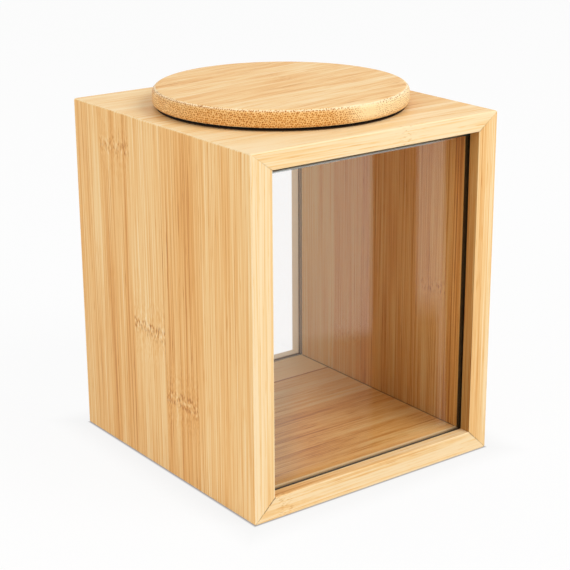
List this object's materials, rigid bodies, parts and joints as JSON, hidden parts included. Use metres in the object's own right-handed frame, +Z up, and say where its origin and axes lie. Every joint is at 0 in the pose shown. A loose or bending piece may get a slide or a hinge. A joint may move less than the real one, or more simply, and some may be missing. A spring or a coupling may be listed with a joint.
{
  "type": "storage jar",
  "caption": "Square bamboo storage jar with a glass pane front and back and a round plug lid with a silicone seal.",
  "frame": {"origin": "on the floor, under the middle of the box", "axes": "+Z up, +X to the right as the front pane is faced, -Y out of the front pane"},
  "size_m": [0.13, 0.136, 0.166],
  "materials": {
    "bamboo": "laminated bamboo strips, sanded and satin lacquered",
    "glass": "clear float glass with seamed edges",
    "silicone": "dark grey silicone, matte"
  },
  "bodies": {
    "box": {"left_panel": "bamboo", "right_panel": "bamboo", "base_panel": "bamboo", "top_panel": "bamboo", "front_pane": "glass", "back_pane": "glass"},
    "lid": {"lid_disc": "bamboo", "lid_plug": "bamboo", "lid_seal": "silicone"}
  },
  "joints": [
    {"name": "lid_lift", "type": "slide", "parent": "box", "child": "lid", "axis": [0, 0, 1], "range_m": [0, 0.12]}
  ]
}
